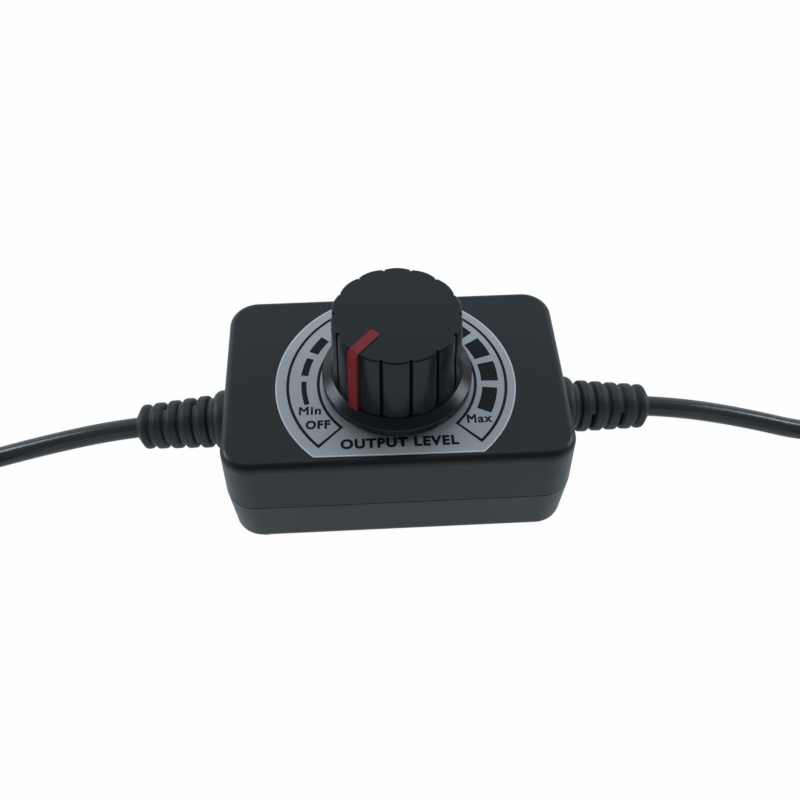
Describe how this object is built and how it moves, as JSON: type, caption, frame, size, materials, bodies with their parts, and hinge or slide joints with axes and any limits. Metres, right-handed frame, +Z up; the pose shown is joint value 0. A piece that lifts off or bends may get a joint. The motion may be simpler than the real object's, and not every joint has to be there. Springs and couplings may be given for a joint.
{
  "type": "inline dimmer switch",
  "caption": "In-line rotary dimmer: a black two-part casing with a silver dial label and a skirted knob, and a short lead with a strain relief and barrel connector at each end.",
  "frame": {"origin": "middle of the casing's underside", "axes": "+X along the leads towards the output plug, -Y towards the user, +Z up, along the knob's axis"},
  "size_m": [0.2779, 0.0444, 0.039],
  "materials": {
    "casing_plastic": "satin",
    "label_film": "satin",
    "knob_plastic": "satin",
    "pointer_red": "satin",
    "plated_steel": "plated",
    "shaft_metal": "turned",
    "contact_brass": "bright",
    "tinned_copper": "bright",
    "rotor_plastic": "moulded",
    "pot_moulding": "moulded",
    "track_carbon": "printed",
    "board_laminate": "lacquered",
    "black_epoxy": "moulded",
    "capacitor_can": "sleeved",
    "relief_rubber": "satin",
    "lead_jacket": "glossy",
    "red_insulation": "glossy",
    "black_insulation": "glossy",
    "connector_grip": "satin",
    "connector_metal": "plated",
    "insulator_plastic": "moulded"
  },
  "bodies": {
    "casing": {"upper_casing": "casing_plastic", "lower_casing": "casing_plastic", "dial_label": "label_film", "casing_screws": "plated_steel", "mounting_washer": "plated_steel", "mounting_nut": "plated_steel", "pot_frame": "plated_steel", "switch_leaf": "plated_steel", "switch_contact": "contact_brass", "track_terminals": "tinned_copper", "switch_terminals": "tinned_copper", "transistor_tab": "tinned_copper", "capacitor_leads": "tinned_copper", "chip_leads": "tinned_copper", "diode_tabs": "tinned_copper", "pot_housing": "pot_moulding", "switch_base": "pot_moulding", "pot_track": "track_carbon", "circuit_board": "board_laminate", "transistor": "black_epoxy", "driver_chip": "black_epoxy", "diode": "black_epoxy", "chip_resistors": "black_epoxy", "capacitor": "capacitor_can", "input_strain_relief": "relief_rubber", "output_strain_relief": "relief_rubber", "input_lead": "lead_jacket", "output_lead": "lead_jacket", "input_red_wire": "red_insulation", "output_red_wire": "red_insulation", "input_black_wire": "black_insulation", "output_black_wire": "black_insulation", "plug_body": "connector_grip", "socket_body": "connector_grip", "plug_barrel": "connector_metal", "plug_contact": "connector_metal", "socket_sleeve": "connector_metal", "socket_pin": "connector_metal", "plug_insulator": "insulator_plastic"},
    "dial": {"knob": "knob_plastic", "knob_pointer": "pointer_red", "pot_shaft": "shaft_metal", "pot_rotor": "rotor_plastic", "pot_wiper": "contact_brass"}
  },
  "joints": [
    {"name": "knob_turn", "type": "hinge", "parent": "casing", "child": "dial", "pos_m": [0.0003, -0.0018, 0.0222], "axis": [0, 0, -1], "range_deg": [0, 276]}
  ]
}
